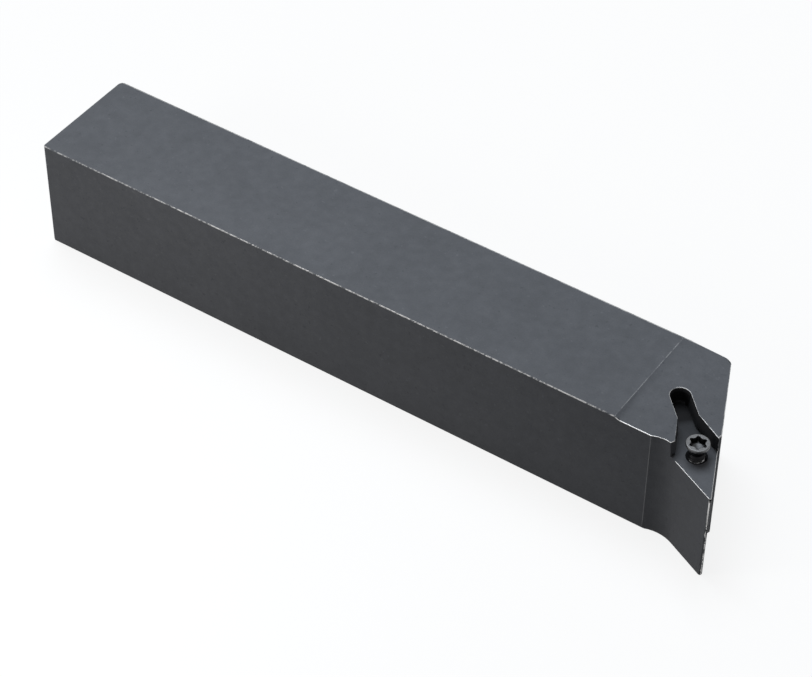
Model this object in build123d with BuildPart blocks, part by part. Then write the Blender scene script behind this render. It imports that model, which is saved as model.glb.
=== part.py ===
from build123d import *
from math import cos, radians, sin, sqrt, tan
import os

# Left-hand turning tool holder for a small 35 degree insert held by one screw.
# Millimetres and degrees. X runs along the shank to the cutting head and +Z is up.
# The insert's corner is on the -Y side. The origin is on the bottom face, in the
# middle of the shank's width and of the tool's length.

# Shank
TOOL_LENGTH = 125.0  # rear end to the insert's corner
CORNER_OFFSET = 24.25  # far side of the shank to the insert's corner
SHANK_WIDTH = 20.0
SHANK_HEIGHT = 20.0  # also the height of the cutting edge
REAR_FAR_RADIUS = 1.0  # upright edges of the rear end
REAR_NEAR_RADIUS = 0.45
REAR_FOOT_RADIUS = 0.8  # the rear end's lower edge
EDGE_BREAK = 0.15  # the four long edges

# Insert that the seat is made for
INSERT_CIRCLE = 6.35  # circle that touches its four sides
INSERT_ANGLE = 35.0  # its sharp corner
INSERT_THICKNESS = 3.18
INSERT_CLEARANCE = 5.0  # lean of its sides
INSERT_CORNER_RADIUS = 0.4
ENTERING_ANGLE = 117.5  # cutting edge to the direction of feed, which is Y

# Head, around the insert
HEAD_LENGTH = 19.15  # insert's corner back to the step in the top face
FRONT_ANGLE = 24.1  # front face to Y
FRONT_PROUD = 0.27  # front face beyond the foot of the insert
FAR_CORNER_RADIUS = 1.6
FLANK_ANGLE = 25.5  # side face below the insert to X
FLANK_PROUD = 0.29  # side face beyond the foot of the insert, at the seat floor
FLANK_LEAN = 0.75  # the side face draws in towards the bottom
NECK_DEPTH = 0.49  # hollow between the shank's near side and the side face
NECK_RADIUS_BOTTOM = 6.0
NECK_RADIUS_TOP = 4.6

# Clearance cut on the front face, from beside the seat to the nose
RELIEF_INSET = 0.06  # inside the foot of the insert
RELIEF_START_TOP = 2.2  # behind the insert's centre, along the front face
RELIEF_START_BOTTOM = 1.35
RELIEF_RAMP_ANGLE = 39.0  # its run-out, to the front face
NOSE_RADIUS_BOTTOM = 0.35  # upright edge of the nose
NOSE_RADIUS_TOP = 0.15
NOSE_FLAT_SETBACK = 0.45  # small flat below the insert's corner, at the seat floor
NOSE_FLAT_LEAN = 13.0

# Top face of the head
RAMP_LENGTH = 1.2  # hollow run-out next to the step
DROP_NEAR = 0.38  # below the shank's top, on the insert's side
DROP_FAR = 0.07
FALL_FAR = 2.8  # forward fall of the top face along the far side

# Seat
REAR_WALL_EASE = 2.0  # the rear wall opens this much more than the insert
REAR_WALL_END = 0.1  # where the rear wall stops, past the insert's centre
REAR_WALL_TIP_ANGLE = 62.5  # narrow flat across that end, to X
SLOT_RADIUS = 1.62  # round end of the slot behind the insert, at the cutting height
GROOVE_DEPTH = 0.45  # undercut at the foot of the seat walls
GROOVE_HEIGHT = 0.35
HOLE_SETBACK = 0.08  # the hole stands this much deeper than the insert's centre
THREAD_DIAMETER = 2.5
THREAD_DEPTH = 8.0  # below the seat floor
MOUTH_DIAMETER = 3.26
MOUTH_ANGLE = 120.0
DRILL_POINT_ANGLE = 118.0

# Clamping screw
SCREW_LENGTH = 6.5
SCREW_HEAD_DIAMETER = 3.55
SCREW_RIM_HEIGHT = 0.5
SCREW_RIM_BREAK = 0.1
SCREW_CONE_ANGLE = 60.0
SCREW_POINT_BREAK = 0.3
SCREW_STANDS = 2.79  # top of its head above the seat floor
THREAD_CLEARANCE = 0.05  # between the screw's shank and the hole, all round
SOCKET_LOBES = 6
SOCKET_ACROSS = 2.65  # over two opposite lobes
SOCKET_WAIST = 1.95
SOCKET_LOBE_RADIUS = 0.21
SOCKET_DEPTH = 1.0
SOCKET_POINT_ANGLE = 120.0
SOCKET_TURN = -3.5  # direction of one lobe, from X

# Reach of the cutting shapes past the solid
MARGIN = 6.0

rear_x = -TOOL_LENGTH / 2
corner_x = TOOL_LENGTH / 2
far_y = SHANK_WIDTH / 2
near_y = -SHANK_WIDTH / 2
step_x = corner_x - HEAD_LENGTH
floor_z = SHANK_HEIGHT - INSERT_THICKNESS
hangs_down = (Align.CENTER, Align.CENTER, Align.MAX)


def direction(angle):
    """Unit vector in plan, at an angle from X."""
    return Vector(cos(radians(angle)), sin(radians(angle)))


def meet(point_a, along_a, point_b, along_b):
    """The point where two lines in plan cross."""
    cross = along_a.X * along_b.Y - along_a.Y * along_b.X
    gap = point_b - point_a
    return point_a + along_a * ((gap.X * along_b.Y - gap.Y * along_b.X) / cross)


# The insert, seen from above: its long diagonal runs from its centre to its cutting corner
diagonal_angle = 90 - ENTERING_ANGLE - INSERT_ANGLE / 2
toward_corner = direction(diagonal_angle)
insert_radius = INSERT_CIRCLE / 2
corner_factor = 1 / sin(radians(INSERT_ANGLE / 2))
centre_to_corner = insert_radius * corner_factor - INSERT_CORNER_RADIUS * (corner_factor - 1)
centre = Vector(corner_x, far_y - CORNER_OFFSET) - toward_corner * centre_to_corner
foot_radius = insert_radius - INSERT_THICKNESS * tan(radians(INSERT_CLEARANCE))
insert_reach = centre_to_corner + MARGIN

# Faces of the head, each by a point and the direction in which it faces
front_out = direction(FRONT_ANGLE)
front_along = direction(FRONT_ANGLE - 90)
front_point = centre + front_out * (foot_radius + FRONT_PROUD)
relief_point = centre + front_out * (foot_radius - RELIEF_INSET)
flank_out = direction(-90 - FLANK_ANGLE)
flank_along = direction(-FLANK_ANGLE)


def flank_point(z):
    """A point of the side face at height z, abreast of the insert's centre."""
    return centre + flank_out * (foot_radius + FLANK_PROUD + (z - floor_z) * tan(radians(FLANK_LEAN)))


def neck_and_flank(z, neck_radius):
    """Outline, at height z, of what is cut away beside the neck and the side face."""
    on_flank = flank_point(z)
    middle_y = near_y + NECK_DEPTH - neck_radius
    middle = meet(on_flank + flank_out * neck_radius, flank_along, Vector(0, middle_y), Vector(1, 0))
    start = Vector(middle.X - sqrt(neck_radius**2 - (neck_radius - NECK_DEPTH) ** 2), near_y)
    deepest = middle + Vector(0, neck_radius)
    tangent = middle - flank_out * neck_radius
    end = on_flank + flank_along * insert_reach
    with BuildSketch(Plane.XY.offset(z)) as outline:
        with BuildLine():
            ThreePointArc(start, deepest, tangent)
            Polyline(tangent, end, end + flank_out * MARGIN, (start.X, end.Y - MARGIN), start)
        make_face()
    return outline.sketch


def front_relief(z, start):
    """Outline, at height z, of the clearance cut on the front face."""
    inset = FRONT_PROUD + RELIEF_INSET
    first = front_point - front_along * start
    second = first - front_out * inset + front_along * (inset / tan(radians(RELIEF_RAMP_ANGLE)))
    end = relief_point + front_along * insert_reach
    with BuildSketch(Plane.XY.offset(z)) as outline:
        with BuildLine():
            Polyline(first, second, end, end + front_out * MARGIN, first + front_out * MARGIN, close=True)
        make_face()
    return outline.sketch


def nose_edge(z, radius):
    """Outline, at height z, of what is cut away outside the rounded upright edge of the nose."""
    inside_front = relief_point - front_out * radius
    middle = meet(inside_front, front_along, flank_point(z) - flank_out * radius, flank_along)
    tip = meet(relief_point, front_along, flank_point(z), flank_along)
    beyond = tip + toward_corner * MARGIN
    with BuildSketch(Plane.XY.offset(z)) as outline:
        with BuildLine():
            out = (tip - middle).normalized()
            ThreePointArc(middle + front_out * radius, middle + out * radius, middle + flank_out * radius)
            Polyline(middle + flank_out * radius, tip + flank_out, beyond, tip + front_out)
            Line(tip + front_out, middle + front_out * radius)
        make_face()
    return outline.sketch


def head_top(y, drop, fall):
    """Section, in the upright plane at y, of what is cut off the top of the head."""
    ramp_end = (step_x + RAMP_LENGTH, SHANK_HEIGHT - drop)
    head_end_x = corner_x + MARGIN
    head_end_z = ramp_end[1] - (head_end_x - ramp_end[0]) * tan(radians(fall))
    above_z = SHANK_HEIGHT + MARGIN
    backwards = (-cos(radians(fall)), sin(radians(fall)))
    with BuildSketch(Plane.XZ.offset(-y)) as section:
        with BuildLine():
            TangentArc(ramp_end, (step_x, SHANK_HEIGHT), tangent=backwards)
            Polyline(
                (step_x, SHANK_HEIGHT),
                (step_x, above_z),
                (head_end_x, above_z),
                (head_end_x, head_end_z),
                ramp_end,
            )
        make_face()
    return section.sketch


def slot_half_width(z):
    """Half the slot's width at height z: its sides lean as the insert's do."""
    return SLOT_RADIUS - (SHANK_HEIGHT - z) * tan(radians(INSERT_CLEARANCE))


def seat_wall(side, z):
    """A seat wall at height z: where it starts, at the slot, its direction and its outward normal.

    Side 1 is the wall on the far side, and side -1 is the one to the rear.
    """
    lean = (SHANK_HEIGHT - z) * tan(radians(INSERT_CLEARANCE))
    angle = diagonal_angle + side * INSERT_ANGLE / 2
    on_wall = centre + direction(angle + side * 90) * (insert_radius - lean)
    slot_side = centre + direction(diagonal_angle + side * 90) * slot_half_width(z)
    mouth = meet(on_wall, direction(angle), slot_side, toward_corner)
    eased = angle if side > 0 else angle - REAR_WALL_EASE
    return mouth, direction(eased), direction(eased + side * 90)


def rear_wall_end(z):
    """The point where the rear wall stops, at height z."""
    mouth, along, outward = seat_wall(-1, z)
    return meet(mouth, along, centre + along * REAR_WALL_END, outward)


def seat_outline(z):
    """Outline of the open seat and its slot at height z."""
    far_mouth, far_along, _ = seat_wall(1, z)
    rear_mouth, _, _ = seat_wall(-1, z)
    rear_end = rear_wall_end(z)
    slot_centre = centre - toward_corner * centre_to_corner
    slot_back = slot_centre - toward_corner * slot_half_width(z)
    across = direction(diagonal_angle + 90) * slot_half_width(z)
    with BuildSketch(Plane.XY.offset(z)) as outline:
        with BuildLine():
            ThreePointArc(slot_centre - across, slot_back, slot_centre + across)
            Polyline(
                slot_centre + across,
                far_mouth,
                far_mouth + far_along * insert_reach,
                centre + toward_corner * insert_reach,
                rear_end - direction(REAR_WALL_TIP_ANGLE) * MARGIN,
                rear_end,
                rear_mouth,
                slot_centre - across,
            )
        make_face()
    return outline.sketch


# Holder: one machined piece of steel
with BuildPart() as holder_body:
    # Blank of the shank and head, seen from above
    widest_flank = flank_point(SHANK_HEIGHT) + flank_out
    far_front = meet(front_point, front_along, Vector(0, far_y), Vector(1, 0))
    nose = meet(front_point, front_along, widest_flank, flank_along)
    flank_start = meet(widest_flank, flank_along, Vector(0, near_y), Vector(1, 0))
    rear_near = Vector(rear_x, near_y)
    rear_far = Vector(rear_x, far_y)
    with BuildSketch():
        with BuildLine():
            Polyline(rear_near, flank_start, nose, far_front, rear_far, close=True)
        make_face()
    extrude(amount=SHANK_HEIGHT)
    chamfer(holder_body.edges().filter_by(Axis.X), EDGE_BREAK)
    half_height = Vector(0, 0, SHANK_HEIGHT / 2)
    corners = [rear_near, rear_far, far_front]
    for corner, radius in zip(corners, [REAR_NEAR_RADIUS, REAR_FAR_RADIUS, FAR_CORNER_RADIUS]):
        upright_edges = holder_body.edges().filter_by(Axis.Z)
        fillet(upright_edges.sort_by_distance(corner + half_height)[0], radius)

    # Rounded lower edge of the rear end
    with BuildSketch(Plane.XZ):
        with BuildLine():
            RadiusArc((rear_x, REAR_FOOT_RADIUS), (rear_x + REAR_FOOT_RADIUS, 0), -REAR_FOOT_RADIUS)
            Polyline((rear_x + REAR_FOOT_RADIUS, 0), (rear_x, 0), (rear_x, REAR_FOOT_RADIUS))
        make_face()
    extrude(amount=SHANK_WIDTH, both=True, mode=Mode.SUBTRACT)

    # Neck and side face, then the clearance on the front face
    neck_sections = [neck_and_flank(0, NECK_RADIUS_BOTTOM), neck_and_flank(SHANK_HEIGHT, NECK_RADIUS_TOP)]
    loft(neck_sections, ruled=True, mode=Mode.SUBTRACT)
    relief_sections = [front_relief(0, RELIEF_START_BOTTOM), front_relief(SHANK_HEIGHT, RELIEF_START_TOP)]
    loft(relief_sections, ruled=True, mode=Mode.SUBTRACT)

    # Top of the head
    top_sections = [head_top(near_y, DROP_NEAR, 0), head_top(far_y, DROP_FAR, FALL_FAR)]
    loft(top_sections, ruled=True, mode=Mode.SUBTRACT)

    # Seat and slot, with the undercut at the foot of both walls
    loft([seat_outline(floor_z), seat_outline(SHANK_HEIGHT + MARGIN)], ruled=True, mode=Mode.SUBTRACT)
    for side in (1, -1):
        mouth, along, outward = seat_wall(side, floor_z)
        end = mouth + along * insert_reach
        depth = outward * GROOVE_DEPTH
        with BuildSketch(Plane.XY.offset(floor_z)):
            with BuildLine():
                Polyline(mouth, end, end + depth, mouth + depth, close=True)
            make_face()
        extrude(amount=GROOVE_HEIGHT, mode=Mode.SUBTRACT)

    # Nose below the insert's corner
    nose_sections = [nose_edge(0, NOSE_RADIUS_BOTTOM), nose_edge(SHANK_HEIGHT, NOSE_RADIUS_TOP)]
    loft(nose_sections, ruled=True, mode=Mode.SUBTRACT)
    nose_tip = meet(relief_point, front_along, flank_point(floor_z), flank_along) + Vector(0, 0, floor_z)
    flat_out = toward_corner * cos(radians(NOSE_FLAT_LEAN)) + Vector(0, 0, sin(radians(NOSE_FLAT_LEAN)))
    nose_flat = Plane(origin=nose_tip - toward_corner * NOSE_FLAT_SETBACK, z_dir=flat_out)
    split(bisect_by=nose_flat, keep=Keep.BOTTOM)

    # Blind threaded hole
    hole = centre - toward_corner * HOLE_SETBACK
    with Locations(hole + Vector(0, 0, floor_z)):
        CounterSinkHole(THREAD_DIAMETER / 2, MOUTH_DIAMETER / 2, THREAD_DEPTH, MOUTH_ANGLE)
    point_height = THREAD_DIAMETER / 2 / tan(radians(DRILL_POINT_ANGLE / 2))
    with Locations(hole + Vector(0, 0, floor_z - THREAD_DEPTH)):
        Cone(0, THREAD_DIAMETER / 2, point_height, align=hangs_down, mode=Mode.SUBTRACT)

# Clamping screw, backed out as it stands without an insert
screw_radius = THREAD_DIAMETER / 2 - THREAD_CLEARANCE
head_radius = SCREW_HEAD_DIAMETER / 2
cone_height = (head_radius - screw_radius) / tan(radians(SCREW_CONE_ANGLE / 2))
head_top_centre = hole + Vector(0, 0, floor_z + SCREW_STANDS)
lobe_centre = SOCKET_ACROSS / 2 - SOCKET_LOBE_RADIUS
waist = SOCKET_WAIST / 2
lobe_step = 360 / SOCKET_LOBES
lobe_cos = cos(radians(lobe_step / 2))
# The flank between two lobes is an arc tangent to both
flank_radius = (lobe_centre**2 + waist**2 - 2 * lobe_centre * waist * lobe_cos - SOCKET_LOBE_RADIUS**2) / (
    2 * (SOCKET_LOBE_RADIUS + lobe_centre * lobe_cos - waist)
)
with BuildPart() as clamp_screw:
    with BuildSketch(Plane(origin=head_top_centre, x_dir=(1, 0, 0), z_dir=(0, -1, 0))):
        with BuildLine():
            Polyline(
                (0, 0),
                (head_radius - SCREW_RIM_BREAK, 0),
                (head_radius, -SCREW_RIM_BREAK),
                (head_radius, -SCREW_RIM_HEIGHT),
                (screw_radius, -SCREW_RIM_HEIGHT - cone_height),
                (screw_radius, SCREW_POINT_BREAK - SCREW_LENGTH),
                (screw_radius - SCREW_POINT_BREAK, -SCREW_LENGTH),
                (0, -SCREW_LENGTH),
                close=True,
            )
        make_face()
    revolve(axis=Axis(head_top_centre, (0, 0, 1)))

    # Six-lobed socket with a drilled bottom
    with BuildSketch(Plane(origin=head_top_centre, x_dir=direction(SOCKET_TURN), z_dir=(0, 0, 1))):
        with BuildLine():
            for lobe in range(SOCKET_LOBES):
                tip = direction(lobe * lobe_step)
                joins = []
                for flank in (-1, 1):
                    flank_centre = direction((lobe + flank / 2) * lobe_step) * (waist + flank_radius)
                    share = SOCKET_LOBE_RADIUS / (SOCKET_LOBE_RADIUS + flank_radius)
                    joins.append(tip * lobe_centre + (flank_centre - tip * lobe_centre) * share)
                ThreePointArc(joins[0], tip * SOCKET_ACROSS / 2, joins[1])
                valley = direction((lobe + 0.5) * lobe_step)
                next_join = joins[0].rotate(Axis.Z, lobe_step)
                ThreePointArc(joins[1], valley * waist, next_join)
        make_face()
    extrude(amount=-SOCKET_DEPTH, mode=Mode.SUBTRACT)
    socket_point = waist / tan(radians(SOCKET_POINT_ANGLE / 2))
    with Locations(head_top_centre - Vector(0, 0, SOCKET_DEPTH)):
        Cone(0, waist, socket_point, align=hangs_down, mode=Mode.SUBTRACT)

holder_body.part.label = "holder_body"
clamp_screw.part.label = "clamp_screw"

os.makedirs("parts", exist_ok=True)
export_step(holder_body.part, "parts/holder_body.step")
export_step(clamp_screw.part, "parts/clamp_screw.step")
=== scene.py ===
"""A turning tool holder in blackened steel with worn edges, and the small screw that clamps its insert."""
from math import atan2, cos, pi, radians, sin, sqrt, tan

import bmesh
import bpy
from mathutils import Matrix, Vector


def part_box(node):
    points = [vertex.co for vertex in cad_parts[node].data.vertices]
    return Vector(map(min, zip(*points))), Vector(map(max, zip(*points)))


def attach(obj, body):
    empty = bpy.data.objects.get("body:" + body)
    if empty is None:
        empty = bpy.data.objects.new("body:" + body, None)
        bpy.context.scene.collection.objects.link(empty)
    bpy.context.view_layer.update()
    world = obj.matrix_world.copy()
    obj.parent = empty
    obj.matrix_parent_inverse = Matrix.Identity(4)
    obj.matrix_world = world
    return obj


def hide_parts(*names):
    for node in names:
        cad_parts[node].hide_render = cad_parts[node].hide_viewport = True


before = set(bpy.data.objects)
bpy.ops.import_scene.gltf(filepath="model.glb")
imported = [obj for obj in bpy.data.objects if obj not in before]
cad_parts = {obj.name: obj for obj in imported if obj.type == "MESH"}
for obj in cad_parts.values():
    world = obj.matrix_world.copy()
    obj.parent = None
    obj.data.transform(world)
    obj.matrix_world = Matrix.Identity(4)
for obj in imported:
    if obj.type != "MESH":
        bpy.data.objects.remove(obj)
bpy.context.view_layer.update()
MM = 0.001

# Camera, in millimetres and unit vectors of the part's frame
CAMERA_PLACE = (166.93, -247.99, 292.10)
CAMERA_VIEW = (-0.4009, 0.5978, -0.6942)
CAMERA_UP = (-0.39458, 0.57119, 0.71975)
CAMERA_LENS = 118.07

# Blackened steel, worn steel and what they stand on
OXIDE_DARK = (0.104, 0.108, 0.117, 1)
OXIDE_LIGHT = (0.167, 0.172, 0.186, 1)
# painted shade: the colour that the seat's walls and floor, the hole's mouth and the slot's end are darkened towards
PAINTED_SHADE_COLOUR = (0.012, 0.012, 0.013, 1)
BARE_STEEL = (0.62, 0.61, 0.60, 1)
SCREW_DARK = (0.012, 0.012, 0.013, 1)
# painted light: the lighter copy of the screw's steel, for the top of its head and the cone at the socket's bottom
SCREW_PAINTED_LIGHT = (0.108, 0.109, 0.111, 1)
SCREW_BARE = (0.36, 0.36, 0.36, 1)
FLOOR_COLOUR = (0.17, 0.17, 0.17, 1)
FLOOR_REACH = 3.0  # metres from the middle to each side
FLOOR_GLOW = 0.855  # added to what the camera and reflections see of the floor
DIM_WORLD = 0.11  # light that the world gives, where it isn't seen

# Lamps: name, place and aim in metres, size in metres, power and colour
LAMPS = [
    ("key", (-0.66, 0.48, 2.05), (0, 0, 0), 1.3, 35.0, (0.86, 0.93, 1.0)),
    ("left", (-0.065, -0.115, 0.085), (-0.040, -0.01, 0.01), 0.05, 0.062, (1.0, 0.98, 0.96)),
]

# Edge breaks of the holder, in millimetres, and the least angle of an edge that gets one
EDGE_BREAK = 0.09
SEAT_EDGE_BREAK = 0.06
FAR_EDGE_BREAK = 0.16
EDGE_ANGLE = radians(22)
SMOOTH_ANGLE = radians(50)

# Where the wider break of the far top edges runs, in millimetres
TOP_HEIGHT = 19.3  # above this height
FAR_SIDE = 9.7  # along the far side, beyond this y
FAR_SIDE_END = 60.0  # up to this x
FRONT_START = 56.5  # along the front of the head, from this x
FRONT_SIDE = -8.0  # and beyond this y
HEAD_START = 43.0

# How worn the edges are in each part of the holder: lowest and highest corner in millimetres, then how much
# of the edge is bare and how bright that is, both from 0 to 1
ANY = 99.0
WEAR_ZONES = [
    (((60.9, -ANY, 16.1), (ANY, -12.4, 16.7)), 0.0, 0.0),  # facet under the insert's corner
    (((60.9, -ANY, 8.6), (ANY, -12.4, 16.1)), 1.0, 1.0),  # upper half of the nose's upright edge
    (((60.9, -ANY, -ANY), (ANY, -12.4, 8.6)), 0.45, 1.0),  # lower half of it
    (((-ANY, -ANY, -ANY), (ANY, ANY, 3.0)), 0.2, 0.3),  # lower edges
    (((48.0, -10.1, 1.0), (50.0, -9.9, 19.3)), 0.8, 0.18),  # upright edge of the neck
    (((52.0, -10.3, 16.0), (53.8, -8.9, 19.45)), 0.0, 0.0),  # end of the rear seat wall
    (((43.2, -9.5, 19.8), (43.6, ANY, 20.1)), 0.5, 0.22),  # step in the top face
    (((50.0, -ANY, 16.7), (ANY, -4.5, 16.9)), 1.0, 0.8),  # edges of the seat floor
    (((47.0, -4.8, 19.2), (54.0, 1.2, 20.0)), 0.6, 0.6),  # rim of the slot
    (((43.4, -10.1, 19.2), (53.5, -8.8, 20.0)), 0.9, 0.9),  # near edge of the head and of the neck
    (((-ANY, 9.0, 19.0), (ANY, ANY, ANY)), 0.6, 0.6),  # far edge of the top
    (((55.0, -9.0, 19.0), (ANY, ANY, ANY)), 0.55, 0.7),  # front edge of the head
    (((-ANY, -ANY, -ANY), (-62.0, ANY, ANY)), 0.5, 0.5),  # rear end
]
PLAIN_WEAR = (0.5, 0.55)
NO_WEAR = (0.0, 0.0)
NOSE_START = 60.9
NOSE_DEPTH = 1.0  # from its tip back
NOSE_HEIGHTS = (8.6, 16.1)  # where its wear changes
NOSE_SIDE = -0.77  # in the upper half only faces with a lesser normal y are worn, in the lower half only the others
HOLE_REACH = 1.8  # around the screw hole the edges are not worn, and the hole's mouth is darkened with painted shade

# Insert seat, in millimetres: the direction from its slot to the nose, and how far along it the floor is darkened
# with painted shade, most of all at the end of the slot
TO_NOSE = Vector((1, -1)).normalized()
SLOT_END = 36.2
SEAT_INNER = 38.0
SEAT_NOSE = 49.0
SEAT_HALF_WIDTH = 3.25
SEAT_FLOOR = 16.82
SEAT_LENGTH = 12.5  # from the nose back, with the finer edge break
SLOT_FADE = 2.5  # over which the painted shade at the slot's end fades
SLOT_WALL_REACH = -8.0  # beyond this place, measured from the hole, a wall belongs to the slot's end
SLOT_SHADE_REACH = -7.5  # beyond this one it gets painted shade
SLOT_SHADE_TOP = 19.0
GROOVE_DEPTH = 0.35

# Clamping screw, in millimetres below the top of its head
RIM_ROUND = 0.12
RIM_HEIGHT = 0.5
RIM_BREAK = 0.06  # at the lower end of the rim
RIM_BREAK_DROP = 0.05
NECK_STEP = 0.1  # between the neck and the thread
HEAD_CONE_ANGLE = radians(60)
NECK_RADIUS = 1.2
THREAD_ROOT = 1.02
THREAD_CREST = 1.235
THREAD_PITCH = 0.45
THREAD_START = 1.75
THREAD_TURN = 0.755  # share of a turn by which the thread is turned
SOCKET_ACROSS = 2.65  # over two opposite lobes
SOCKET_WAIST = 1.95  # between them
SOCKET_LOBE = 0.25  # radius of a lobe's end
SOCKET_DEPTH = 1.0
SOCKET_POINT = 0.5
SOCKET_BREAK = 0.075
SOCKET_TURN = radians(-3.5)
SOCKET_LOBES = 6
SCREW_STANDS = 2.79  # above the seat floor
SOCKET_PAINTED_LIGHT = 0.30  # painted light on the cone at the socket's bottom
BARE_CREST = 1.12  # radius beyond which the thread is bare
AROUND = 120  # points around the screw
ALONG = 12  # points along each turn of the thread


class Socket:
    """One output of a node. A sum or product written with it adds the Math nodes."""

    def __init__(self, graph, output):
        self.graph = graph
        self.output = output

    def maths(self, operation, first, second=0.0):
        return self.graph.node("ShaderNodeMath", {"operation": operation}, {0: first, 1: second})

    def __add__(self, other):
        return self.maths("ADD", self, other)

    def __sub__(self, other):
        return self.maths("SUBTRACT", self, other)

    def __rsub__(self, other):
        return self.maths("SUBTRACT", other, self)

    def __mul__(self, other):
        return self.maths("MULTIPLY", self, other)

    def __truediv__(self, other):
        return self.maths("DIVIDE", self, other)

    __radd__ = __add__
    __rmul__ = __mul__

    def fraction(self):
        return self.maths("FRACT", self)

    def size(self):
        return self.maths("ABSOLUTE", self)

    def sine(self):
        return self.maths("SINE", self)

    def cosine(self):
        return self.maths("COSINE", self)

    def ramp(self, low, high):
        """0 below low and 1 above high, with a smooth rise between them."""
        limits = {"Value": self, "From Min": low, "From Max": high}
        return self.graph.node("ShaderNodeMapRange", {"interpolation_type": "SMOOTHSTEP"}, limits)


class Graph:
    """A node tree, filled one node at a time."""

    def __init__(self, tree):
        self.tree = tree
        tree.nodes.clear()

    def node(self, kind, settings=None, values=None, output=0):
        made = self.tree.nodes.new(kind)
        for name, setting in (settings or {}).items():
            setattr(made, name, setting)
        for name, value in (values or {}).items():
            if isinstance(value, Socket):
                self.tree.links.new(value.output, made.inputs[name])
            else:
                made.inputs[name].default_value = value
        return Socket(self, made.outputs[output]) if made.outputs else None

    def noise(self, place, size, detail=3.0, roughness=0.55):
        """Cloudy noise from 0 to 1 with features of that size in millimetres."""
        values = {"Vector": place, "Scale": 1 / (size * MM), "Detail": detail, "Roughness": roughness}
        return self.node("ShaderNodeTexNoise", values=values)

    def attribute(self, name):
        return self.node("ShaderNodeAttribute", {"attribute_name": name}, output="Fac")

    def blend(self, share, first, second):
        """A colour between two colours."""
        return self.node("ShaderNodeMix", {"data_type": "RGBA"}, {0: share, 6: first, 7: second}, output=2)

    def bump(self, height, distance, strength):
        return self.node("ShaderNodeBump", values={"Height": height, "Distance": distance * MM, "Strength": strength})


def new_material(name):
    material = bpy.data.materials.new(name)
    material.use_nodes = True
    return material, Graph(material.node_tree)


def finish_material(graph, values):
    """Ends a material in one surface shader with these values."""
    surface = graph.node("ShaderNodeBsdfPrincipled", values=values)
    graph.node("ShaderNodeOutputMaterial", values={"Surface": surface})


def oxide_colour(graph, place):
    """Blackened steel: slow clouds, mottling of a millimetre or two, a fine grain, and a few small marks."""
    clouds = graph.noise(place, 14, detail=2)
    mottle = graph.noise(place, 1.7, detail=4)
    grain = graph.noise(place, 0.22, detail=2)
    marks = graph.noise(place, 0.8, detail=2)
    share = clouds * 0.35 + mottle * 0.50 + grain * 0.35 - 0.17
    share = share + marks.ramp(0.66, 0.74) * 0.25 - (1 - marks).ramp(0.66, 0.74) * 0.30
    return graph.blend(share.ramp(0.05, 0.95), OXIDE_DARK, OXIDE_LIGHT), mottle, grain + marks.ramp(0.60, 0.74) * 0.8


def blackened_steel():
    """Blackened steel with painted shade: darker on the walls of the seat, on its floor away from the nose, and in
    the hole's mouth and the slot's end.
    """
    material, graph = new_material("blackened_steel")
    place = graph.node("ShaderNodeTexCoord", output="Object")
    colour, mottle, grain = oxide_colour(graph, place)
    across = {axis: graph.node("ShaderNodeSeparateXYZ", values={0: place}, output=axis) for axis in "XY"}
    to_nose = (across["X"] - across["Y"]) * sqrt(0.5)
    # Painted shade: the seat floor darkens away from the nose and most of all at the slot's end, and the seat walls
    # darken throughout
    inner = 0.7 * (1 - to_nose.ramp(SEAT_INNER * MM, SEAT_NOSE * MM))
    end = 0.5 * (1 - to_nose.ramp(SLOT_END * MM, (SLOT_END + SLOT_FADE) * MM))
    shade = graph.attribute("seat_wall") * 0.85 + graph.attribute("seat_floor_shade") * (inner + end)
    finish_material(graph, {
        "Base Color": graph.blend(shade + graph.attribute("painted_shade"), colour, PAINTED_SHADE_COLOUR),
        "Specular IOR Level": 0.06,
        "Roughness": 0.42 + 0.10 * mottle + 0.06 * grain,
        "Normal": graph.bump(grain, 0.004, 0.35),
    })
    return material


def worn_edge():
    material, graph = new_material("worn_edge")
    place = graph.node("ShaderNodeTexCoord", output="Object")
    colour, mottle, grain = oxide_colour(graph, place)
    # painted shade in the hole's mouth and at the slot's end darkens the edges there too
    colour = graph.blend(graph.attribute("painted_shade"), colour, PAINTED_SHADE_COLOUR)
    patches = graph.noise(place, 2.4, detail=4, roughness=0.65)
    chips = graph.noise(place, 0.35, detail=2, roughness=0.6)
    bare = (patches * 0.5 + chips * 0.5 + graph.attribute("wear") * 0.3).ramp(0.54, 0.72) * graph.attribute("bright")
    finish_material(graph, {
        "Base Color": graph.blend(bare, colour, BARE_STEEL),
        "Metallic": 0.95 * bare,
        "Specular IOR Level": 0.06,
        "Roughness": 0.44 - 0.10 * bare + 0.06 * grain,
        "Normal": graph.bump(chips, 0.02, 0.5),
    })
    return material


def screw_steel():
    """Blackened like the holder, with painted light on the top of the head and on the cone at the socket's bottom."""
    material, graph = new_material("screw_steel")
    place = graph.node("ShaderNodeTexCoord", output="Object")
    mottle = graph.noise(place, 0.7, detail=3)
    grain = graph.noise(place, 0.08, detail=2)
    share = graph.attribute("painted_light") * (0.75 + 0.5 * mottle)
    bare = graph.attribute("bare") * mottle.ramp(0.35, 0.60)
    finish_material(graph, {
        "Base Color": graph.blend(bare, graph.blend(share, SCREW_DARK, SCREW_PAINTED_LIGHT), SCREW_BARE),
        "Metallic": 0.8,
        "Specular IOR Level": 0.3,
        "Roughness": 0.30 + 0.06 * mottle,
        "Normal": graph.bump(grain, 0.0015, 0.2),
    })
    return material


def background_rays(graph):
    """1 for rays that show the background: the camera's, and those that a piece reflects or lets through."""
    kinds = ("Camera", "Glossy", "Transmission")
    rays = [graph.node("ShaderNodeLightPath", output=f"Is {kind} Ray") for kind in kinds]
    return rays[0] + rays[1] + rays[2]


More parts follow.
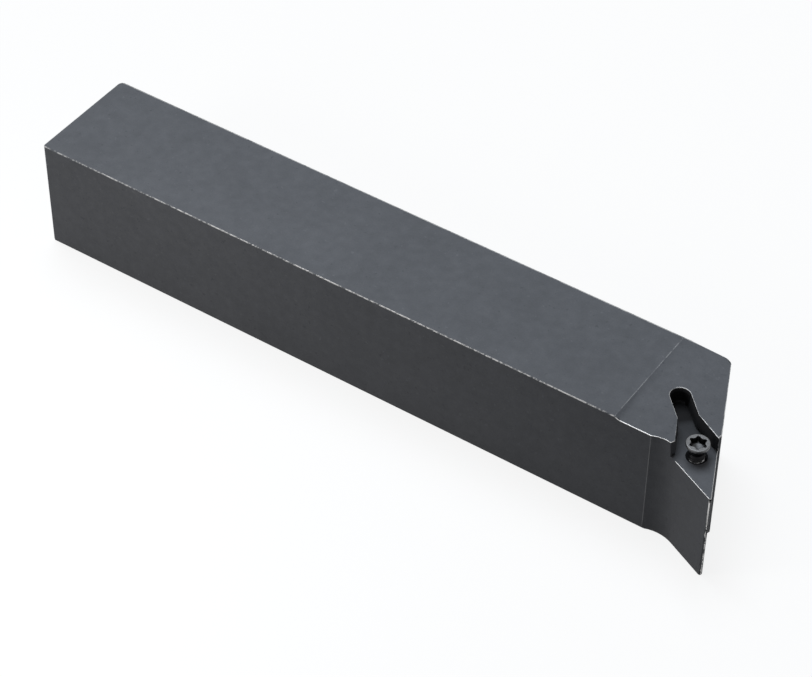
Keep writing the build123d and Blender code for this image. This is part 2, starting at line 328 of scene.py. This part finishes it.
def floor_material():
    """Pale floor. What the camera and reflections see of it is a little lighter, so that it nears white."""
    material, graph = new_material("pale_floor")
    seen = background_rays(graph)
    diffuse = graph.node("ShaderNodeBsdfDiffuse", values={"Color": FLOOR_COLOUR})
    glow = graph.node("ShaderNodeEmission", values={"Color": (1, 1, 1, 1), "Strength": seen * FLOOR_GLOW})
    both = graph.node("ShaderNodeAddShader", values={0: diffuse, 1: glow})
    graph.node("ShaderNodeOutputMaterial", values={"Surface": both})
    return material


def plain_mesh(piece):
    """Turns the piece's modifiers into its mesh."""
    evaluated = piece.evaluated_get(bpy.context.evaluated_depsgraph_get())
    mesh = bpy.data.meshes.new_from_object(evaluated)
    piece.modifiers.clear()
    piece.data = mesh


def add_piece(name, mesh):
    piece = bpy.data.objects.new(name, mesh)
    bpy.context.scene.collection.objects.link(piece)
    return piece


def is_long_chamfer(face):
    """The 45 degree strips along the shank."""
    normal = face.normal
    return abs(normal.x) < 0.02 and abs(abs(normal.y) - abs(normal.z)) < 0.1


def is_nose(face, nose_x):
    """The narrow rounded faces of the upright edge under the insert's corner."""
    out = Vector((1, -1, 0)).normalized()
    return face.calc_center_median().x > nose_x and face.normal.dot(out) > 0.9 and abs(face.normal.z) < 0.1


def is_far_edge(edge, middle):
    """The top edges that face away from the near side: the long far one, and the front one of the head."""
    along_far = middle.y > FAR_SIDE and middle.x < FAR_SIDE_END
    along_front = middle.x > FRONT_START and middle.y > FRONT_SIDE
    on_chamfer = all(face.normal.z > 0.5 for face in edge.link_faces)
    return middle.z > TOP_HEIGHT and (on_chamfer or middle.x > HEAD_START) and (along_far or along_front)


def edge_wear(place, hole):
    """How much of the edge is bare at a place, and how bright it is: the first zone that holds it says so."""
    from_hole = (place.xy - hole).length
    if from_hole < HOLE_REACH:
        return NO_WEAR
    for (low, high), bare, bright in WEAR_ZONES:
        if all(a <= b <= c for a, b, c in zip(low, place, high)):
            return bare, bright
    return PLAIN_WEAR


def is_seat_wall(place, normal, hole):
    """An upright face above the seat floor that looks towards the seat's middle line."""
    aside = Vector((-TO_NOSE.y, TO_NOSE.x))
    offset = (place.xy - hole).dot(aside)
    slot_end = (place.xy - hole).dot(TO_NOSE) < SLOT_WALL_REACH
    inward = normal.xy.dot(aside) * offset < 0 or slot_end
    upright = abs(normal.z) < 0.6 and place.z > SEAT_FLOOR - GROOVE_DEPTH
    return upright and abs(offset) < SEAT_HALF_WIDTH and inward


def face_marks(mesh, names):
    """New values for each face under each name, all 0."""
    for name in names:
        mesh.attributes.new(name, "FLOAT", "FACE")
    return {name: mesh.attributes[name] for name in names}


def mark_faces(mesh):
    """Gives each face its wear, and marks where painted shade goes: the walls and floor of the seat, the hole's
    mouth, the slot's end and the facet under the insert's corner.
    """
    low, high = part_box("clamp_screw")
    hole = (low.xy + high.xy) / 2 / MM
    marks = face_marks(mesh, ("wear", "bright", "seat_wall", "seat_floor_shade", "painted_shade"))
    aside = Vector((-TO_NOSE.y, TO_NOSE.x))
    for face in mesh.polygons:
        place = face.center / MM
        from_hole = place.xy - hole
        in_mouth = from_hole.length < HOLE_REACH and place.z < SEAT_FLOOR - 0.01
        under_corner = place.x > NOSE_START and NOSE_HEIGHTS[1] < place.z < SEAT_FLOOR - 0.1
        to_front = abs(face.normal.z) < 0.3 and face.normal.xy.normalized().dot(TO_NOSE) > 0.8
        in_slot_end = from_hole.dot(TO_NOSE) < SLOT_SHADE_REACH and abs(from_hole.dot(aside)) < SEAT_HALF_WIDTH
        slot_wall = SEAT_FLOOR - GROOVE_DEPTH < place.z < SLOT_SHADE_TOP and face.normal.z < 0.3
        # Painted shade: the hole's mouth, the walls at the slot's end and the facet under the insert's corner are
        # darkened
        if in_mouth or (in_slot_end and slot_wall) or (under_corner and to_front):
            marks["painted_shade"].data[face.index].value = 1
        if face.material_index == 1:
            on_nose = abs(face.normal.z) < 0.15 and place.x > NOSE_START
            dark_side = (face.normal.y > NOSE_SIDE) == (place.z > NOSE_HEIGHTS[0])
            bare, bright = NO_WEAR if on_nose and dark_side else edge_wear(place, hole)
            marks["wear"].data[face.index].value = bare
            marks["bright"].data[face.index].value = bright
        # the seat's walls and floor are marked for painted shade
        elif is_seat_wall(place, face.normal, hole):
            marks["seat_wall"].data[face.index].value = 1
        elif face.normal.z > 0.9 and abs(place.z - SEAT_FLOOR) < GROOVE_DEPTH + 0.05:
            marks["seat_floor_shade"].data[face.index].value = 1


def make_holder():
    """The holder's own faces, with a small worn break on each outer edge."""
    low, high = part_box("holder_body")
    nose_x = high.x - NOSE_DEPTH * MM
    seat_x = high.x - SEAT_LENGTH * MM
    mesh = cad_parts["holder_body"].data.copy()
    mesh.name = "holder"
    mesh.materials.clear()
    mesh.materials.append(blackened_steel())
    mesh.materials.append(worn_edge())
    work = bmesh.new()
    work.from_mesh(mesh)
    bmesh.ops.remove_doubles(work, verts=work.verts, dist=0.001 * MM)
    bmesh.ops.dissolve_limit(work, angle_limit=radians(0.2), verts=work.verts, edges=work.edges)
    work.normal_update()
    weight = work.edges.layers.float.new("bevel_weight_edge")
    for face in work.faces:
        face.smooth = True
        face.material_index = 1 if is_long_chamfer(face) or is_nose(face, nose_x) else 0
    for edge in work.edges:
        if edge.calc_face_angle_signed(0) < EDGE_ANGLE:
            continue
        middle = (edge.verts[0].co + edge.verts[1].co) / 2
        far = is_far_edge(edge, middle / MM)
        if any(face.material_index == 1 for face in edge.link_faces) and not far:
            continue
        width = SEAT_EDGE_BREAK if middle.x > seat_x else EDGE_BREAK
        edge[weight] = 1.0 if far else width / FAR_EDGE_BREAK
    for height in NOSE_HEIGHTS:
        nose = [face for face in work.faces if face.material_index == 1 and is_nose(face, nose_x)]
        edges = list({edge for face in nose for edge in face.edges})
        corners = list({vert for face in nose for vert in face.verts})
        bmesh.ops.bisect_plane(work, geom=nose + edges + corners, plane_co=(0, 0, height * MM), plane_no=(0, 0, 1))
    work.to_mesh(mesh)
    work.free()
    holder = add_piece("holder", mesh)
    edge_break = holder.modifiers.new("edge break", "BEVEL")
    edge_break.limit_method = "WEIGHT"
    edge_break.width = FAR_EDGE_BREAK * MM
    edge_break.segments = 2
    edge_break.material = 1
    edge_break.use_clamp_overlap = False
    plain_mesh(holder)
    holder.data.set_sharp_from_angle(angle=SMOOTH_ANGLE)
    even = holder.modifiers.new("even shading", "WEIGHTED_NORMAL")
    even.keep_sharp = True
    plain_mesh(holder)
    mark_faces(holder.data)
    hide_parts("holder_body")
    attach(holder, "holder")


def socket_radius(angle):
    """Distance from the axis to the wall of the six-lobed socket."""
    half_step = pi / SOCKET_LOBES
    lobe = SOCKET_ACROSS / 2 - SOCKET_LOBE
    waist = SOCKET_WAIST / 2
    across = lobe**2 + waist**2 - 2 * lobe * waist * cos(half_step) - SOCKET_LOBE**2
    flank = across / (2 * (SOCKET_LOBE + lobe * cos(half_step) - waist))
    share = SOCKET_LOBE / (SOCKET_LOBE + flank)
    flank_place = Vector((cos(half_step), sin(half_step))) * (waist + flank)
    join = Vector((lobe, 0)).lerp(flank_place, share)
    turn = abs((angle - SOCKET_TURN + half_step) % (2 * half_step) - half_step)
    if turn < atan2(join.y, join.x):
        return lobe * cos(turn) + sqrt(SOCKET_LOBE**2 - (lobe * sin(turn)) ** 2)
    rest = half_step - turn
    return (waist + flank) * cos(rest) - sqrt(flank**2 - ((waist + flank) * sin(rest)) ** 2)


def skin_rings(name, centre, rings):
    """A skin through rings around an upright axis. Each ring is a height and a radius, or a function for it."""
    work = bmesh.new()
    angles = [2 * pi * step / AROUND for step in range(AROUND)]
    loops = []
    for height, radius in rings:
        radii = [radius(angle) if callable(radius) else radius for angle in angles]
        if max(radii) == 0:
            loops.append([work.verts.new(centre + Vector((0, 0, height * MM)))] * AROUND)
            continue
        loops.append([
            work.verts.new(centre + Vector((r * cos(angle), r * sin(angle), height)) * MM)
            for angle, r in zip(angles, radii)
        ])
    for upper, lower in zip(loops, loops[1:]):
        for step in range(AROUND):
            after = (step + 1) % AROUND
            corners = [upper[after], upper[step], lower[step], lower[after]]
            work.faces.new([c for i, c in enumerate(corners) if c not in corners[:i]])
    for face in work.faces:
        face.smooth = True
    mesh = bpy.data.meshes.new(name)
    work.to_mesh(mesh)
    work.free()
    return mesh


def mark_screw(mesh, top):
    """Marks the faces of the head that get painted light, and the crests of the thread that have run in the hole."""
    marks = face_marks(mesh, ("painted_light", "bare"))
    for face in mesh.polygons:
        out = (face.center.xy - top.xy) / MM
        depth = (top.z - face.center.z) / MM
        inward = face.normal.z < 0.95 and face.normal.xy.dot(out) < 0
        cone = depth > SOCKET_DEPTH + 0.01 and out.length < SOCKET_WAIST / 2 and depth < THREAD_START
        # Painted light: the top of the head and the cone at the socket's bottom get the lighter colour
        head_top = depth < RIM_HEIGHT + 0.1 and not inward
        marks["painted_light"].data[face.index].value = SOCKET_PAINTED_LIGHT if cone else float(head_top)
        lower_rim = abs(depth - RIM_HEIGHT) < RIM_BREAK and out.length > SOCKET_ACROSS / 2
        crest = depth > SCREW_STANDS and out.length > BARE_CREST
        marks["bare"].data[face.index].value = float(lower_rim or crest)


def thread_tree(finish):
    """Geometry Nodes for a thread: a grid rolled into a tube whose radius follows the turns."""
    tree = bpy.data.node_groups.new("rolled thread", "GeometryNodeTree")
    graph = Graph(tree)
    sizes = {
        "Around": "NodeSocketInt", "Along": "NodeSocketInt", "Length": "NodeSocketFloat",
        "Pitch": "NodeSocketFloat", "Root": "NodeSocketFloat", "Crest": "NodeSocketFloat",
    }
    for name, kind in sizes.items():
        tree.interface.new_socket(name, in_out="INPUT", socket_type=kind)
    tree.interface.new_socket("Mesh", in_out="OUTPUT", socket_type="NodeSocketGeometry")
    given = {name: graph.node("NodeGroupInput", output=name) for name in sizes}
    grid = graph.node("GeometryNodeMeshGrid", values={
        "Size X": 1.0, "Size Y": 1.0, "Vertices X": given["Around"] + 1, "Vertices Y": given["Along"],
    })
    place = graph.node("GeometryNodeInputPosition")
    across = graph.node("ShaderNodeSeparateXYZ", values={0: place}, output="X") + 0.5
    along = graph.node("ShaderNodeSeparateXYZ", values={0: place}, output="Y") + 0.5
    height = along * given["Length"]
    turn = (height / given["Pitch"] - across + THREAD_TURN).fraction()
    ridge = (turn * 2 - 1).size().ramp(0.12, 0.88)
    run_out = along.ramp(0.0, 0.08) * (1 - along).ramp(0.0, 0.08)
    radius = given["Root"] + (given["Crest"] - given["Root"]) * ridge * run_out
    angle = across * (2 * pi)
    rolled = graph.node("ShaderNodeCombineXYZ", values={
        "X": angle.cosine() * radius, "Y": angle.sine() * radius, "Z": height,
    })
    tube = graph.node("GeometryNodeSetPosition", values={"Geometry": grid, "Position": rolled})
    closed = graph.node("GeometryNodeMergeByDistance", values={"Geometry": tube, "Distance": 0.0005 * MM})
    smooth = graph.node("GeometryNodeSetShadeSmooth", values={"Geometry": closed})
    real = graph.node("GeometryNodeRealizeInstances", values={"Geometry": smooth})
    coloured = graph.node("GeometryNodeSetMaterial", values={"Geometry": real, "Material": finish})
    graph.node("NodeGroupOutput", values={"Mesh": coloured})
    return tree


def make_thread(length, finish):
    """The threaded length of the screw, standing on the origin."""
    thread = add_piece("thread", bpy.data.meshes.new("thread"))
    turns = thread.modifiers.new("turns", "NODES")
    turns.node_group = thread_tree(finish)
    values = {
        "Around": AROUND, "Along": round(length / THREAD_PITCH * ALONG), "Length": length * MM,
        "Pitch": THREAD_PITCH * MM, "Root": THREAD_ROOT * MM, "Crest": THREAD_CREST * MM,
    }
    for item in turns.node_group.interface.items_tree:
        if item.in_out == "INPUT":
            turns[item.identifier] = values[item.name]
    plain_mesh(thread)
    return thread


def make_screw():
    """The clamping screw: a countersunk head with its socket, and a threaded shank."""
    low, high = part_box("clamp_screw")
    head_radius = (high.x - low.x) / 2 / MM
    length = (high.z - low.z) / MM
    top = Vector(((low.x + high.x) / 2, (low.y + high.y) / 2, high.z))
    finish = screw_steel()
    cone = (head_radius - NECK_RADIUS) / tan(HEAD_CONE_ANGLE / 2)
    thread_length = length - THREAD_START - RIM_ROUND * 2
    rounding = [radians(angle) for angle in (15, 35, 55, 75, 90)]
    head_rings = [
        (-SOCKET_DEPTH - SOCKET_POINT, 0),
        (-SOCKET_DEPTH, SOCKET_WAIST / 2 - SOCKET_BREAK * 2),
        (-SOCKET_DEPTH, lambda angle: socket_radius(angle) - SOCKET_BREAK),
        (-SOCKET_DEPTH + SOCKET_BREAK, socket_radius),
        (-SOCKET_BREAK, socket_radius),
        (0, lambda angle: socket_radius(angle) + SOCKET_BREAK),
        (0, lambda angle: socket_radius(angle) + SOCKET_BREAK * 1.5),
        (0, head_radius - RIM_ROUND * 1.3),
        (0, head_radius - RIM_ROUND),
    ]
    head_rings += [(RIM_ROUND * (cos(a) - 1), head_radius - RIM_ROUND * (1 - sin(a))) for a in rounding]
    head_rings += [
        (-RIM_HEIGHT + RIM_BREAK, head_radius),
        (-RIM_HEIGHT - RIM_BREAK_DROP, head_radius - RIM_BREAK),
        (-RIM_HEIGHT - cone, NECK_RADIUS),
        (-THREAD_START + NECK_STEP, NECK_RADIUS),
        (-THREAD_START, THREAD_ROOT),
    ]
    tip_rings = [
        (-length + RIM_ROUND * 2, THREAD_ROOT),
        (-length, THREAD_ROOT - RIM_ROUND * 2),
        (-length, 0),
    ]
    thread = make_thread(thread_length, finish)
    thread.data.transform(Matrix.Translation(top - Vector((0, 0, (length - RIM_ROUND * 2) * MM))))
    work = bmesh.new()
    work.from_mesh(thread.data)
    for mesh in (skin_rings("head", top, head_rings), skin_rings("tip", top, tip_rings)):
        work.from_mesh(mesh)
    bmesh.ops.remove_doubles(work, verts=work.verts, dist=0.001 * MM)
    bmesh.ops.recalc_face_normals(work, faces=work.faces)
    work.to_mesh(thread.data)
    work.free()
    screw = add_piece("screw", thread.data)
    bpy.data.objects.remove(thread)
    screw.data.materials.clear()
    screw.data.materials.append(finish)
    screw.data.set_sharp_from_angle(angle=SMOOTH_ANGLE)
    mark_screw(screw.data, top)
    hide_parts("clamp_screw")
    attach(screw, "screw")


def make_floor():
    mesh = bpy.data.meshes.new("floor")
    signs = ((-1, -1), (1, -1), (1, 1), (-1, 1))
    corners = [(x * FLOOR_REACH, y * FLOOR_REACH, 0) for x, y in signs]
    mesh.from_pydata(corners, [], [(0, 1, 2, 3)])
    mesh.materials.append(floor_material())
    floor = add_piece("floor", mesh)


def add_lamp(name, place, aim, size, power, colour):
    """A square soft lamp at a place, turned to a point, both in metres."""
    data = bpy.data.lights.new(name, "AREA")
    data.shape = "SQUARE"
    data.size = size
    data.energy = power
    data.color = colour
    lamp = bpy.data.objects.new(name, data)
    lamp.location = place
    lamp.rotation_euler = (Vector(aim) - Vector(place)).to_track_quat("-Z", "Y").to_euler()
    bpy.context.scene.collection.objects.link(lamp)


def light_scene():
    world = bpy.data.worlds.new("studio")
    world.use_nodes = True
    graph = Graph(world.node_tree)
    seen = background_rays(graph)
    strength = DIM_WORLD + (1 - DIM_WORLD) * seen
    light = graph.node("ShaderNodeBackground", values={"Color": (1, 1, 1, 1), "Strength": strength})
    graph.node("ShaderNodeOutputWorld", values={"Surface": light})
    bpy.context.scene.world = world
    for lamp in LAMPS:
        add_lamp(*lamp)


def place_camera():
    data = bpy.data.cameras.new("camera")
    data.lens = CAMERA_LENS
    camera = bpy.data.objects.new("camera", data)
    back = -Vector(CAMERA_VIEW).normalized()
    right = Vector(CAMERA_UP).cross(back).normalized()
    turn = Matrix((right, back.cross(right), back)).transposed().to_4x4()
    camera.matrix_world = Matrix.Translation(Vector(CAMERA_PLACE) * MM) @ turn
    bpy.context.scene.collection.objects.link(camera)
    bpy.context.scene.camera = camera


make_holder()
make_screw()
make_floor()
light_scene()
place_camera()
bpy.context.scene.view_settings.view_transform = "Standard"
